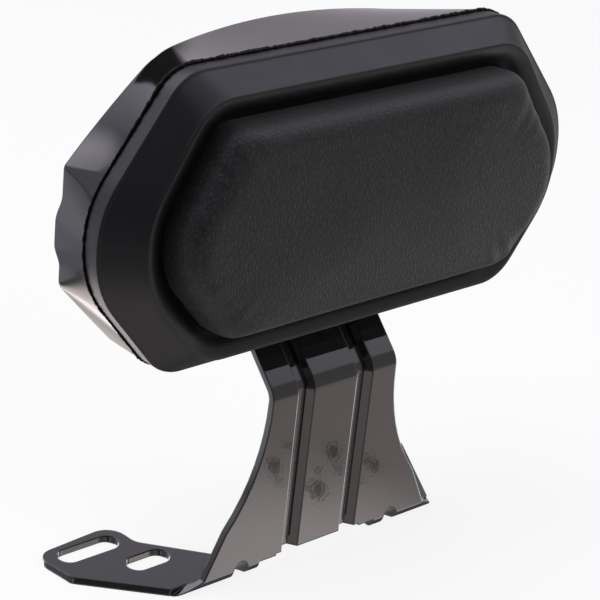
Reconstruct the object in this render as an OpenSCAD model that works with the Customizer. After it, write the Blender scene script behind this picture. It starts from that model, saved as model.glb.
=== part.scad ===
// Passenger backrest for a motorcycle: a padded head with a hollow rear shell, carried by one
// pressed steel bracket whose two slotted feet bolt to the bike. Sizes are in millimetres.
// X runs across the bike, Y towards its rear and Z up. The origin is midway between the two front
// slots, in the plane that the feet stand on.

/* [Head outline] */
// Width of the head over its two ends
head_w = 250; // [235:1:265]
// Height of the top edge above the line through the ends
head_top = 65; // [60:1:72]
// Depth of the bottom edge below the line through the ends
head_bottom = 57; // [52:1:64]
// Length of the straight top edge
top_flat = 153; // [140:1:160]
// Length of the straight bottom edge
bottom_flat = 166; // [150:1:172]
// Radius of the two ends
end_r = 42; // [34:1:46]
// Length of the straight part of each end
end_flat = 2; // [1:0.5:6]
// Radius of the four corners
corner_r = 20; // [14:1:24]
// Height of the middle of the head above the feet
head_z = 164; // [158:1:175]
// Distance of the seam plane behind the upright's front face, at the middle of the head
head_y = 15.2; // [13:0.1:18]
// Angle by which the head leans back
head_lean = 3.8; // [2:0.1:6]

/* [Rear shell] */
// Depth of the shell behind the seam at the middle
shell_depth = 43; // [40:1:48]
// Radius of the shell's bowed back, in plan
back_r = 345; // [335:5:420]
// Wall of the shell
shell_t = 2.5; // [2:0.1:3]
// How far the top and bottom walls slope in from the seam to the back
shell_draft = 2; // [1:0.5:3]
// How far the end walls slope in from the seam to the back
end_draft = 5; // [3:0.5:7]
// Height of the upper corner of each end, on the back
end_high = 24; // [20:1:28]
// Depth of the lower corner of each end, on the back
end_low = 17; // [13:1:21]
// Radius of these end corners
back_end_r = 8; // [7:0.5:10]
// Radius of the edge between side and back
shell_edge_r = 4; // [3.5:0.5:6]
// Height of the raised band across the back
band_h = 3.5; // [2:0.1:5]
// Width of the band's flat top
band_w = 13; // [10:1:18]
// Width of each of the band's sloping flanks
band_flank = 8; // [5:0.5:10]
// Thickness of the seal in the seam
seal_t = 0.8; // [0.6:0.1:1.2]

/* [Surround] */
// Height of the surround's upright lip in front of the seam
lip_h = 8.7; // [7:0.1:10]
// Rounding of the lip's front edge
lip_round = 1; // [0.6:0.1:1.5]
// Height of the surround's crest in front of the seam
crest_h = 20; // [18:0.5:22]
// Distance from the cushion's edge out to the crest
crest_w = 10; // [8:0.5:11]
// Height in front of the seam at which the groove meets the cushion
groove_h = 15; // [13:0.5:16]
// Height in front of the seam of the floor that the cushion sits on
pocket_h = 6; // [5:0.5:8]

/* [Cushion] */
// Width of the cushion's pocket over its ends
pocket_w = 199; // [190:1:204]
// Height of the pocket's top edge above the line through the head's ends
pocket_top = 45.7; // [42:0.1:47]
// Depth of the pocket's bottom edge below that line
pocket_bottom = 40; // [36:0.5:41]
// Length of the pocket's straight top edge
pocket_top_flat = 140; // [130:1:144]
// Length of the pocket's straight bottom edge
pocket_bottom_flat = 142; // [130:1:146]
// Radius of the pocket's ends
pocket_end_r = 30; // [24:1:34]
// Radius of the pocket's corners
pocket_corner_r = 12; // [11:0.5:14]
// Gap between the cushion and its pocket
cushion_gap = 0.3; // [0.2:0.05:0.6]
// Height of the cushion's shoulder line in front of the seam
cushion_h = 33.5; // [30:0.5:36]
// Radius of the cushion's rounded shoulder
shoulder_r = 10; // [8:0.5:10.5]
// How far the cushion's face swells beyond the shoulder line
cushion_crown = 3; // [1:0.5:5]
// Thickness of the cover
cover_t = 1.2; // [1:0.1:1.6]
// Width of the hem that the cover turns behind its board
hem_w = 10; // [8:0.5:10.5]
// Thickness of the cushion's board
board_t = 3; // [2.5:0.1:4]

/* [Bracket] */
// Thickness of the steel sheet
sheet_t = 3.2; // [2.8:0.1:3.6]
// Width of the tongue that enters the shell
tongue_w = 69; // [66:1:74]
// Drop from the middle of the head to the kink, where the upright turns back
kink_drop = 79.2; // [76:0.1:84]
// Angle by which the neck above the kink leans back
neck_lean = 45; // [42:1:48]
// Radius of the kink on the front face
kink_r = 10; // [9.5:0.5:12]
// Radius of the bend inside the shell, on the front face
tongue_r = 6; // [4:0.5:8]
// Depth of the tongue behind the seam plane
tongue_set = 16; // [15:0.5:18]
// Height of the tongue's top edge above the line through the head's ends
tongue_top = 24; // [20:1:30]
// Distance of each pressed groove from the centre line
groove_x = 16.4; // [15.5:0.1:16.5]
// Width of a groove's mouth
groove_mouth = 9; // [8:0.5:9.5]
// Width of a groove's bottom
groove_floor = 3.4; // [3:0.1:4]
// Depth of a groove
groove_d = 4; // [3:0.1:4.2]
// Radius of the hollow side edges of the upright
waist_r = 90; // [80:1:100]
// Drop from the kink to where the side edges start to spread
waist_drop = 4.8; // [4.8:0.1:8]
// Half width of the upright where its bends begin
base_half = 63; // [62:0.5:66]
// Radius of the bends into the feet, on the outside
foot_bend_r = 5; // [4.5:0.1:6]
// Height of the middle's bottom edge above the feet's underside
apron_z = 6; // [5.5:0.5:9]

/* [Feet] */
// Distance from the centre line to a foot's inner root
foot_root_in = 33; // [31:1:35]
// Distance from the centre line to the left foot's outer root
left_root = 76.5; // [75:0.5:78]
// Distance from the centre line to the right foot's outer root
right_root = 73; // [72:0.5:74]
// Distance from the centre line to the left foot's outer side
left_out = 108; // [106:1:112]
// Distance from the centre line to the right foot's outer side
right_out = 96; // [95:1:99]
// Distance of the left foot's outer knee behind the upright's front face
left_knee = 34.5; // [33:0.5:37]
// Distance of the right foot's outer knee behind the upright's front face
right_knee = 46; // [44:0.5:47]
// Distance from the centre line to the left foot's inner side, behind the upright
left_in = 66.5; // [64:0.5:67]
// Distance from the centre line to the right foot's inner side, behind the upright
right_in = 54; // [50:0.5:55]
// Distance of the feet's rear edge behind the upright's front face
foot_back = 58; // [57:1:62]
// Width of every slot
slot_w = 11; // [10:0.5:11.5]
// Length of the rear slots
rear_slot_l = 30; // [24:1:31]
// Distance of the left rear slot's centre from the centre line
left_slot_x = 87; // [86:0.5:88]
// Distance of the right rear slot's centre from the centre line
right_slot_x = 75; // [74.5:0.5:76]
// Distance of the rear slots behind the upright's front face
rear_slot_y = 48.5; // [47:0.5:49]
// Length of the front slots
front_slot_l = 21; // [18:1:24]
// Distance of the front slots' centres from the centre line
front_slot_x = 70.5; // [69:0.5:72]
// Distance of the front slots behind the upright's front face
front_slot_y = 28.5; // [27:0.5:30]
// Distance of the pressed darts in the bends from the centre line
dart_x = 43; // [40:1:48]
// Radius of a dart's hollow
dart_r = 4.2; // [3.5:0.1:5]

/* [Fasteners] */
// Radius of the bolts that hold the bracket in the shell
bolt_r = 2.5; // [2:0.1:2.8]
// Clearance between a fastener and its hole
hole_gap = 0.3; // [0.2:0.05:0.4]
// Height of the lower bracket bolts, from the line through the head's ends
bolt_low = -34; // [-36:1:-28]
// Height of the upper bracket bolts
bolt_high = 10; // [4:1:12]
// Thickness of the plain washers
washer_t = 1; // [0.8:0.1:1.4]
// Thickness of the spring washers
spring_t = 1.2; // [1:0.1:1.5]
// Radius of the threaded inserts in the shell's bosses
insert_r = 3.6; // [3.4:0.1:3.9]
// Length of the threaded inserts
insert_l = 9; // [7:0.5:10]
// Radius of the screws that close the shell
screw_r = 1.9; // [1.6:0.1:2.1]
// Distance of the closing screws from the centre line
screw_x = 72; // [66:1:76]
// Height of the upper closing screws
screw_high = 38; // [34:1:40]
// Height of the lower closing screws
screw_low = -30; // [-32:1:-26]
// Distance of the cushion screws from the centre line
pin_x = 52; // [46:1:58]
// Height of the upper cushion screws
pin_high = 22; // [18:1:26]
// Height of the lower cushion screws
pin_low = -18; // [-20:1:-14]
// Number of staples along each long side of the cushion's board
staple_count = 6; // [4:1:8]

/* [Hidden] */

// Steps round each corner, along a long edge and along a slanted edge of every outline
corner_steps = 5;
long_steps = 6;
slant_steps = 2;
// Facets of round parts
round_fn = 48;
// Facets of a rounded corner in a flat outline
bend_steps = 6;
// A little more than nothing, so that cuts run clear of faces
over = 1;

// Frame of the bracket: as the part's own, but with the upright's front face at Y = 0
module in_upright() translate([0, -front_slot_y, 0]) children();

// Head frame: X across, Y up the head, Z forward from the seam plane
module in_head() translate([0, head_y - front_slot_y, head_z]) rotate([90 - head_lean, 0, 0]) children();

// Eight circles, [x, y, radius], whose outer tangents make an outline with two ends, a straight top
// and a straight bottom: two circles in each end, then two along the top or bottom
function outline_circles(w, end_r, high, low, top, bottom, r, top_len, bottom_len) = [
    [w / 2 - end_r, -low, end_r], [w / 2 - end_r, high, end_r],
    [top_len / 2, top - r, r], [-top_len / 2, top - r, r],
    [end_r - w / 2, high, end_r], [end_r - w / 2, -low, end_r],
    [-bottom_len / 2, r - bottom, r], [bottom_len / 2, r - bottom, r]];
head_circles = outline_circles(head_w, end_r, end_flat / 2, end_flat / 2, head_top, head_bottom,
    corner_r, top_flat, bottom_flat);
back_circles = outline_circles(head_w - 2 * end_draft, back_end_r, end_high, end_low,
    head_top - shell_draft, head_bottom - shell_draft, 0.8 * corner_r, top_flat, bottom_flat - end_draft);
pocket_circles = outline_circles(pocket_w, pocket_end_r, end_flat / 2, end_flat / 2, pocket_top,
    pocket_bottom, pocket_corner_r, pocket_top_flat, pocket_bottom_flat);

// Direction square to the outer tangent from circle a to circle b, going round anticlockwise
function tangent_dir(a, b) =
    let (d = [b[0] - a[0], b[1] - a[1]])
    atan2(d[1], d[0]) - acos((a[2] - b[2]) / norm(d));
function on_circle(c, g, a) = [c[0] + (c[2] + g) * cos(a), c[1] + (c[2] + g) * sin(a)];
// Points round the circles, which are all grown by g; every ring has as many points
function ring(circles, g) = [
    for (i = [0:7])
        let (c = circles[i], before = circles[(i + 7) % 8], after = circles[(i + 1) % 8],
            a0 = tangent_dir(before, c), turn = (tangent_dir(c, after) - a0 + 720) % 360,
            p = on_circle(c, g, a0 + turn), q = on_circle(after, g, a0 + turn),
            links = i % 4 == 2 ? long_steps : i % 4 == 0 ? 1 : slant_steps)
        each concat(
            [for (k = [0:corner_steps]) on_circle(c, g, a0 + turn * k / corner_steps)],
            links == 1 ? [] : [for (k = [1:links - 1]) p + (q - p) * k / links])];
function lift(points, z) = [for (p = points) [p[0], p[1], z]];
function mix(a, b, t) = [for (i = [0:len(a) - 1]) a[i] * (1 - t) + b[i] * t];
function reversed(list) = [for (i = [len(list) - 1:-1:0]) list[i]];

// Closed skin over a row of rings that all have as many points. The ends are flat, or for the section
// of a bent sheet they are closed in strips from its front face to its rear face
module skin(rings, sheet = false) {
    n = len(rings[0]);
    m = len(rings);
    end = sheet
        ? [for (i = [0:n / 2 - 2]) each [[i, i + 1, n - 2 - i], [i, n - 2 - i, n - 1 - i]]]
        : [[for (i = [0:n - 1]) i]];
    polyhedron(
        points = [for (r = rings) each r],
        faces = concat(
            end,
            [for (j = [0:m - 2], i = [0:n - 1]) let (k = (i + 1) % n) [j * n + i, (j + 1) * n + k, j * n + k]],
            [for (j = [0:m - 2], i = [0:n - 1]) let (k = (i + 1) % n) [j * n + i, (j + 1) * n + i, (j + 1) * n + k]],
            [for (face = end) [for (i = reversed(face)) (m - 1) * n + i]]),
        convexity = 6);
}

// Outline with rounded corners, each corner given as [x, y, radius]
function rounded(c) = [
    for (i = [0:len(c) - 1])
        let (n = len(c), p = [c[i][0], c[i][1]], a = c[(i + n - 1) % n], b = c[(i + 1) % n],
            u = [a[0], a[1]] - p, v = [b[0], b[1]] - p, un = u / norm(u), vn = v / norm(v),
            half = acos(un * vn) / 2, r = c[i][2],
            mid = p + (un + vn) / norm(un + vn) * r / sin(half),
            s = p + un * r / tan(half) - mid, e = p + vn * r / tan(half) - mid,
            turn = (180 - 2 * half) * sign(s[0] * e[1] - s[1] * e[0]))
        each r == 0 ? [p] : [for (k = [0:bend_steps])
            let (t = turn * k / bend_steps)
            mid + [s[0] * cos(t) - s[1] * sin(t), s[0] * sin(t) + s[1] * cos(t)]]];

// Depth of the shell's back behind the seam at a distance x from the middle
function back_depth(x) = shell_depth - back_r + sqrt(back_r * back_r - x * x);

// Bracket

// Plan section of the sheet with its two pressed grooves, front face on Y = 0
flank_angle = atan2(groove_d, (groove_mouth - groove_floor) / 2);
fold = sheet_t * tan(flank_angle / 2);
groove_back = groove_x + groove_mouth / 2 + fold;
function groove_points(y_top, y_floor, shift) = [
    for (side = [-1, 1]) let (x = side * groove_x)
        each [[x - groove_mouth / 2 - shift, y_top], [x - groove_floor / 2 - shift, y_floor],
            [x + groove_floor / 2 + shift, y_floor], [x + groove_mouth / 2 + shift, y_top]]];
function sheet_section(half) = concat(
    [[-half, 0]], groove_points(0, groove_d, 0), [[half, 0], [half, sheet_t]],
    reversed(groove_points(sheet_t, groove_d + sheet_t, fold)), [[-half, sheet_t]]);

// Places of the repeated fasteners, in the head's plane; the bracket's bolts stand outside the grooves
boss_r = bolt_r + 2.9;
boss_gap = 0.2;
// Gap between the tongue and the bosses' seats
seat_gap = 0.02;
bolt_x = groove_back + boss_r + boss_gap;
bolt_spots = [for (x = [-bolt_x, bolt_x], y = [bolt_low, bolt_high]) [x, y]];
screw_spots = [for (x = [-screw_x, screw_x], y = [screw_low, screw_high]) [x, y]];
pin_spots = [for (x = [-pin_x, pin_x], y = [pin_low, pin_high]) [x, y]];

// The neck runs from the kink up to where it meets the tongue's plane
kink_z = head_z - kink_drop;
waist_z = kink_z - waist_drop;
kink_cut = kink_r * tan(neck_lean / 2);
tongue_turn = neck_lean - head_lean;
neck_l = (tongue_set + head_y * cos(head_lean) + (kink_z - head_z) * sin(head_lean))
    / sin(tongue_turn);
tongue_cut = tongue_r * tan(tongue_turn / 2);
kink_low = kink_z - kink_cut;
straight = neck_l - kink_cut - tongue_cut;
// Centre of the bend inside the shell, as [y, z]
bend_mid = [kink_r * (1 - cos(neck_lean)) + straight * sin(neck_lean) - tongue_r * cos(neck_lean),
    kink_low + kink_r * sin(neck_lean) + straight * cos(neck_lean) + tongue_r * sin(neck_lean)];
sweep_steps = 8;
// Front face of the neck and tongue from the kink up, each step as [y, z, lean]
sheet_path = concat(
    [for (k = [0:sweep_steps]) let (t = neck_lean * k / sweep_steps)
        [kink_r * (1 - cos(t)), kink_low + kink_r * sin(t), t]],
    [for (k = [0:sweep_steps]) let (t = neck_lean - tongue_turn * k / sweep_steps)
        [bend_mid[0] + tongue_r * cos(t), bend_mid[1] - tongue_r * sin(t), t]],
    [[head_y + tongue_top * sin(head_lean) + tongue_set * cos(head_lean),
        head_z + tongue_top * cos(head_lean) - tongue_set * sin(head_lean), head_lean]]);

module upright_sheet(half) {
    translate([0, 0, apron_z - over])
        linear_extrude(kink_low - apron_z + over) polygon(sheet_section(half));
}

module neck_and_tongue() {
    skin([for (s = sheet_path)
        [for (p = sheet_section(tongue_w / 2)) [p[0], s[0] + p[1] * cos(s[2]), s[1] - p[1] * sin(s[2])]]],
        true);
}

// Front outline of the upright: hollow sides that spread into the two bends
waist_low = foot_bend_r + 20;
function waist_x(z) = tongue_w / 2 + waist_r - sqrt(waist_r * waist_r - pow(waist_z - z, 2));
waist_steps = 8;
// How far the spread carries on past the feet's outer roots, under the bends
root_flare = 2;
side_edge = concat(
    [[tongue_w / 2, kink_z]],
    [for (k = [0:waist_steps]) let (z = waist_z - (waist_z - waist_low) * k / waist_steps) [waist_x(z), z]],
    [[base_half, foot_bend_r], [left_root + root_flare, -over]]);
// Bottom edge of the apron between the feet, with a hollow at each foot's root
apron_half = groove_back + 1;
apron_edge = [for (k = [0:bend_steps]) let (a = 90 * k / bend_steps)
    [foot_root_in - (foot_root_in - apron_half) * sin(a), apron_z * (1 - cos(a))]];
half_outline = concat(side_edge, [[foot_root_in, -over]], apron_edge);
front_outline = concat(half_outline, [for (p = reversed(half_outline)) [-p[0], p[1]]]);

// Plan outline of a foot on the side of +X: the outer side runs out to the knee, the inner side in
knee_back = 2;
corner_out = 1;
knee_r = 6;
rear_outer_r = 7;
rear_inner_r = 9;
inner_knee_r = 8;
inner_knee = 43;
function foot_outline(root, out, inner, knee) = rounded([
    [foot_root_in, 0, 0], [root - foot_bend_r, 0, 0],
    [out - knee_back, knee, knee_r], [out + corner_out, foot_back - knee_back, rear_outer_r],
    [inner + corner_out, foot_back + corner_out, rear_inner_r], [inner, inner_knee, inner_knee_r],
    [foot_root_in, foot_bend_r, 0]]);

module slot_2d(length) {
    square([length - slot_w, slot_w], center = true);
    for (side = [-1, 1]) translate([side * (length - slot_w) / 2, 0]) circle(d = slot_w, $fn = round_fn);
}

module foot(outline, slot_x) {
    difference() {
        linear_extrude(sheet_t) difference() {
            polygon(outline);
            translate([foot_root_in - over, -over]) square([left_out, foot_bend_r + over]);
        }
        translate([slot_x, rear_slot_y, -over]) linear_extrude(sheet_t + 2 * over) slot_2d(rear_slot_l);
        translate([front_slot_x, front_slot_y, -over])
            linear_extrude(sheet_t + 2 * over) slot_2d(front_slot_l);
    }
}

// Quarter bend from the upright into a foot
module foot_bend(outline) {
    intersection() {
        translate([foot_root_in, foot_bend_r, foot_bend_r]) rotate([0, 90, 0]) rotate([0, 0, -90])
            rotate_extrude(angle = 90, $fn = 4 * round_fn)
                translate([foot_bend_r - sheet_t, 0])
                    square([sheet_t, left_root + root_flare - foot_root_in]);
        linear_extrude(foot_bend_r + over) polygon(outline);
        front_prism();
    }
}

module front_prism() {
    rotate([90, 0, 0]) translate([0, 0, -foot_back]) linear_extrude(foot_back + over) polygon(front_outline);
}

// Round bar of a dart, which slants from the foot to the upright; its axis passes this far inside the
// bend's outer corner
dart_in = 1.8;
module dart_bar(r) {
    translate([dart_x, dart_in / sqrt(2), dart_in / sqrt(2)]) rotate([-45, 0, 0])
        rotate([90, 0, 0]) cylinder(r = r, h = 8 * dart_r, center = true, $fn = round_fn);
}

module dart_rib() {
    intersection() {
        dart_bar(dart_r + 0.75 * sheet_t);
        translate([dart_x - 3 * dart_r, sheet_t / 2, sheet_t / 2]) cube([6 * dart_r, 5 * dart_r, 5 * dart_r]);
    }
}

module bracket_half(root, out, inner, knee, slot_x) {
    outline = foot_outline(root, out, inner, knee);
    foot(outline, slot_x);
    foot_bend(outline);
    dart_rib();
}

module bracket() {
    color([0.06, 0.06, 0.07]) difference() {
        in_upright() union() {
            intersection() {
                upright_sheet(base_half + over);
                front_prism();
            }
            intersection() {
                translate([0, 0, foot_bend_r]) linear_extrude(apron_z) translate([-left_out, 0])
                    square([2 * left_out, sheet_t]);
                difference() {
                    front_prism();
                    translate([-apron_half, -over, -over]) cube([2 * apron_half, foot_back, 3 * apron_z]);
                }
            }
            neck_and_tongue();
            bracket_half(right_root, right_out, right_in, right_knee, right_slot_x);
            mirror([1, 0, 0]) bracket_half(left_root, left_out, left_in, left_knee, left_slot_x);
        }
        in_upright() for (side = [0, 1]) mirror([side, 0, 0]) dart_bar(dart_r);
        in_head() for (s = bolt_spots) translate([s[0], s[1], -tongue_set - sheet_t - over])
            cylinder(r = bolt_r + hole_gap, h = sheet_t + 2 * over, $fn = round_fn);
    }
}

// Rear shell

// Steps round the rear edge: the angle from the side wall to the back
edge_turns = [90, 60, 30, 0];
// Shares of the way from the middle of the back to its edge
back_shares = [0.35, 0.65, 0.85];
hub_share = 0.06;
function back_disc(share, wall) = [for (p = ring(back_circles, -shell_edge_r))
    [p[0] * share, p[1] * share, wall - back_depth(p[0] * share)]];
function edge_ring(turn, wall) =
    let (r = shell_edge_r - wall, inset = wall + r * (1 - cos(turn)), ahead = wall + r * (1 - sin(turn)))
    [for (p = ring(back_circles, -inset)) [p[0], p[1], ahead - back_depth(p[0])]];
function shell_side(wall) = concat(
    [lift(back_disc(hub_share, 0), wall - shell_depth)],
    [for (share = back_shares) back_disc(share, wall)],
    [for (turn = edge_turns) edge_ring(turn, wall)],
    [lift(ring(head_circles, -wall), -seal_t)]);

// The closing screws' heads sit in wells in the back
well_r = screw_r + 2.9;
well_wall = 1.6;
well_floor = 16;
// Posts on the head's base meet the shell's bosses
post_h = 7;
base_t = 3;

module shell_body() {
    skin(concat(shell_side(0), reversed(shell_side(shell_t))));
}

// Raised band across the back, bowed with it and cut off square just inside the shell's ends
band_y = 1;
module shell_band() {
    // The flanks run on down into the shell's wall
    outer = band_w / 2 + band_flank * (1 + shell_t / 2 / band_h);
    reach = asin(head_w / 2 / back_r);
    half = head_w / 2 - end_draft - over;
    intersection() {
        translate([0, band_y, back_r - shell_depth]) rotate([90, 0, 0]) rotate([0, 0, -90 - reach])
            rotate_extrude(angle = 2 * reach, $fn = 8 * round_fn)
                polygon([[back_r - shell_t / 2, -outer], [back_r + band_h, -band_w / 2],
                    [back_r + band_h, band_w / 2], [back_r - shell_t / 2, outer]]);
        translate([-half, -2 * outer, -shell_depth - band_h - over]) cube([2 * half, 4 * outer, shell_depth]);
    }
}

// Room for the neck and tongue where they pass through the shell's bottom wall
neck_room = 0.8;
passage_end = 4;
module neck_passage() {
    translate([0, 0, kink_z]) rotate([-neck_lean, 0, 0])
        translate([-tongue_w / 2 - neck_room, -neck_room, kink_cut])
            cube([tongue_w + 2 * neck_room, groove_d + sheet_t + 2 * neck_room,
                neck_l - kink_cut + passage_end]);
}

// Depth of the insert's hole past its end
insert_room = 3;
module rear_shell() {
    color([0.05, 0.05, 0.06]) difference() {
        in_head() union() {
            shell_body();
            shell_band();
            for (s = bolt_spots) translate([s[0], s[1], shell_t / 2 - back_depth(s[0])])
                cylinder(r = boss_r, h = back_depth(s[0]) - shell_t / 2 - tongue_set - sheet_t - seat_gap,
                    $fn = round_fn);
            for (s = screw_spots) translate([s[0], s[1], shell_t / 2 - back_depth(s[0])])
                cylinder(r = well_r + well_wall, h = back_depth(s[0]) - shell_t / 2 - base_t - post_h,
                    $fn = round_fn);
        }
        in_head() {
            for (s = bolt_spots) translate([s[0], s[1], -tongue_set - sheet_t - insert_l - insert_room])
                cylinder(r = insert_r, h = insert_l + insert_room + over, $fn = round_fn);
            for (s = screw_spots) {
                translate([s[0], s[1], -shell_depth - band_h - over])
                    cylinder(r = well_r, h = shell_depth + band_h + over - well_floor, $fn = round_fn);
                translate([s[0], s[1], -well_floor - over])
                    cylinder(r = screw_r + hole_gap, h = well_floor, $fn = round_fn);
            }
        }
        in_upright() neck_passage();
    }
}

// Seal that fills the seam between the shell's rim and the surround
seal_in = 0.2;
module seam_seal() {
    color([0.02, 0.02, 0.02]) in_head() translate([0, 0, -seal_t]) linear_extrude(seal_t) difference() {
        polygon(ring(head_circles, -seal_in));
        polygon(ring(head_circles, -shell_t));
    }
}

// Head

// Gap between base and shell, post wall, and bite of a thread into its hole
base_gap = 1;
post_wall = 2.3;
thread_gap = 0.05;
module pad_base() {
    color([0.12, 0.12, 0.13]) in_head() difference() {
        union() {
            translate([0, 0, -base_t]) linear_extrude(base_t) polygon(ring(head_circles, -shell_t - base_gap));
            for (s = screw_spots) translate([s[0], s[1], -base_t - post_h])
                cylinder(r = screw_r + post_wall, h = post_h + base_t / 2, $fn = round_fn);
        }
        for (s = screw_spots) translate([s[0], s[1], -base_t - post_h - over])
            cylinder(r = screw_r + thread_gap, h = base_t + post_h + 2 * over, $fn = round_fn);
        for (s = pin_spots) translate([s[0], s[1], -base_t - over])
            cylinder(r = screw_r + hole_gap, h = base_t + 2 * over, $fn = round_fn);
    }
}

// The lip's wall stands this far in at the seam
lip_in = 0.4;
crest_ring = ring(pocket_circles, crest_w);
lip_ring = ring(head_circles, -lip_round);
module pad_surround() {
    color([0.10, 0.10, 0.11]) in_head() difference() {
        skin([
            lift(ring(head_circles, -lip_in), 0),
            lift(ring(head_circles, 0), lip_h - lip_round),
            lift(lip_ring, lip_h),
            lift(mix(lip_ring, crest_ring, 0.45), lip_h + 0.52 * (crest_h - lip_h)),
            lift(mix(lip_ring, crest_ring, 0.85), lip_h + 0.92 * (crest_h - lip_h)),
            lift(crest_ring, crest_h),
            lift(ring(pocket_circles, 0.6 * crest_w), crest_h - 0.2 * (crest_h - groove_h)),
            lift(ring(pocket_circles, 0.22 * crest_w), crest_h - 0.75 * (crest_h - groove_h)),
            lift(ring(pocket_circles, 0), groove_h),
            lift(ring(pocket_circles, 0), pocket_h)]);
        for (s = pin_spots) translate([s[0], s[1], -over])
            cylinder(r = screw_r + hole_gap, h = pocket_h + 2 * over, $fn = round_fn);
    }
}

// Cushion

board_z = pocket_h + cover_t;
// Steps round the shoulder, and shares of the way from the middle of the face to its edge
shoulder_turns = [0, 25, 50, 72, 90];
face_shares = [0.8, 0.5, 0.15];
// Outer skin of the cushion, or the same surface a wall's thickness further in
function cushion_rings(low, wall) =
    let (r = shoulder_r - wall, top = cushion_h - shoulder_r, edge = -cushion_gap - wall,
        rim = ring(pocket_circles, -cushion_gap - shoulder_r))
    concat(
        [lift(ring(pocket_circles, edge), low)],
        [for (a = shoulder_turns) lift(ring(pocket_circles, edge - r * (1 - cos(a))), top + r * sin(a))],
        [for (share = face_shares)
            lift([for (p = rim) p * share], top + r + cushion_crown * (1 - share * share))]);

board_gap = 0.2;
module cushion_board() {
    color([0.16, 0.16, 0.16]) in_head() difference() {
        translate([0, 0, board_z]) linear_extrude(board_t)
            polygon(ring(pocket_circles, -cushion_gap - cover_t - board_gap));
        for (s = pin_spots) translate([s[0], s[1], board_z - over])
            cylinder(r = screw_r + thread_gap, h = board_t + 2 * over, $fn = round_fn);
    }
}

foam_gap = 0.2;
// Hollows in the foam for the screws' tips
tip_gap = 0.6;
tip_room = 5;
module cushion_foam() {
    color([0.75, 0.72, 0.62]) in_head() difference() {
        skin(cushion_rings(board_z + board_t, cover_t + foam_gap));
        for (s = pin_spots) translate([s[0], s[1], board_z + board_t - over])
            cylinder(r = screw_r + tip_gap, h = tip_room + over, $fn = round_fn);
    }
}

module cushion_cover() {
    hem = ring(pocket_circles, -cushion_gap - hem_w);
    color([0.09, 0.09, 0.09]) in_head() difference() {
        skin(concat(reversed(cushion_rings(board_z, cover_t)), [lift(hem, board_z), lift(hem, pocket_h)],
            cushion_rings(pocket_h, 0)));
        staple_row(over);
    }
}

// Staples that hold the cover's hem to the back of the board, crowns flush in the hem
staple_w = 8;
staple_d = 0.8;
crown_t = 0.5;
staple_in = 0.6;
module staple_row(below) {
    span = pocket_top_flat / staple_count;
    for (i = [0:staple_count - 1], side = [-1, 1])
        translate([span * (i + 0.5) - (pocket_top_flat + staple_w) / 2,
            (side > 0 ? pocket_top : -pocket_bottom) - side * (cushion_gap + staple_in * hem_w) - staple_d / 2,
            pocket_h - below])
            cube([staple_w, staple_d, crown_t + below]);
}

module cover_staples() {
    color([0.7, 0.7, 0.72]) in_head() staple_row(0);
}

// Fasteners

// Pan head screw along +Z, head below Z = 0, with a cross recess
recess_w = 0.8;
recess_share = 0.6;
module pan_screw(length) {
    head_r = 2 * screw_r;
    head_t = 1.2 * screw_r;
    difference() {
        union() {
            cylinder(r = screw_r, h = length, $fn = round_fn);
            translate([0, 0, -head_t]) cylinder(r = head_r, h = head_t, $fn = round_fn);
        }
        for (a = [0, 90]) rotate([0, 0, a])
            translate([-recess_share * head_r, -recess_w / 2, -head_t - over])
                cube([2 * recess_share * head_r, recess_w, head_t / 2 + over]);
    }
}

module shell_screws() {
    color([0.25, 0.25, 0.26]) in_head() for (s = screw_spots)
        translate([s[0], s[1], -well_floor]) pan_screw(well_floor - over);
}

module cushion_screws() {
    color([0.6, 0.6, 0.62]) in_head() for (s = pin_spots)
        translate([s[0], s[1], -base_t]) pan_screw(base_t + board_z + board_t + tip_room / 2);
}

insert_gap = 0.02;
module boss_inserts() {
    color([0.78, 0.62, 0.3]) in_head() for (s = bolt_spots)
        translate([s[0], s[1], -tongue_set - sheet_t - seat_gap - insert_l]) difference() {
            cylinder(r = insert_r - insert_gap, h = insert_l, $fn = round_fn);
            translate([0, 0, -over]) cylinder(r = bolt_r + thread_gap, h = insert_l + 2 * over, $fn = round_fn);
        }
}

module bracket_bolts() {
    under = washer_t + spring_t;
    color([0.7, 0.7, 0.72]) in_head() for (s = bolt_spots)
        translate([s[0], s[1], -tongue_set + under]) {
            cylinder(r = 1.85 * bolt_r, h = 1.4 * bolt_r, $fn = 6);
            translate([0, 0, -under - sheet_t - insert_l + 1])
                cylinder(r = bolt_r, h = under + sheet_t + insert_l - 1 + bolt_r / 2, $fn = round_fn);
        }
}

module bracket_washers() {
    color([0.72, 0.72, 0.74]) in_head() for (s = bolt_spots)
        translate([s[0], s[1], -tongue_set]) difference() {
            cylinder(r = 2 * bolt_r, h = washer_t, $fn = round_fn);
            translate([0, 0, -over]) cylinder(r = bolt_r + hole_gap / 2, h = washer_t + 2 * over, $fn = round_fn);
        }
}

module bracket_spring_washers() {
    color([0.35, 0.35, 0.37]) in_head() for (s = bolt_spots)
        translate([s[0], s[1], -tongue_set + washer_t]) difference() {
            cylinder(r = 1.7 * bolt_r, h = spring_t, $fn = round_fn);
            translate([0, 0, -over]) cylinder(r = bolt_r + hole_gap / 2, h = spring_t + 2 * over, $fn = round_fn);
            rotate([0, 20, 0]) translate([-0.3, 0, -3 * spring_t]) cube([0.6, 3 * bolt_r, 6 * spring_t]);
        }
}

bracket();
rear_shell();
seam_seal();
pad_base();
pad_surround();
cushion_board();
cushion_foam();
cushion_cover();
cover_staples();
cushion_screws();
shell_screws();
boss_inserts();
bracket_bolts();
bracket_spring_washers();
bracket_washers();
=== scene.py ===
import math
import bpy
import bmesh
from mathutils import Matrix, Vector, noise


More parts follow.
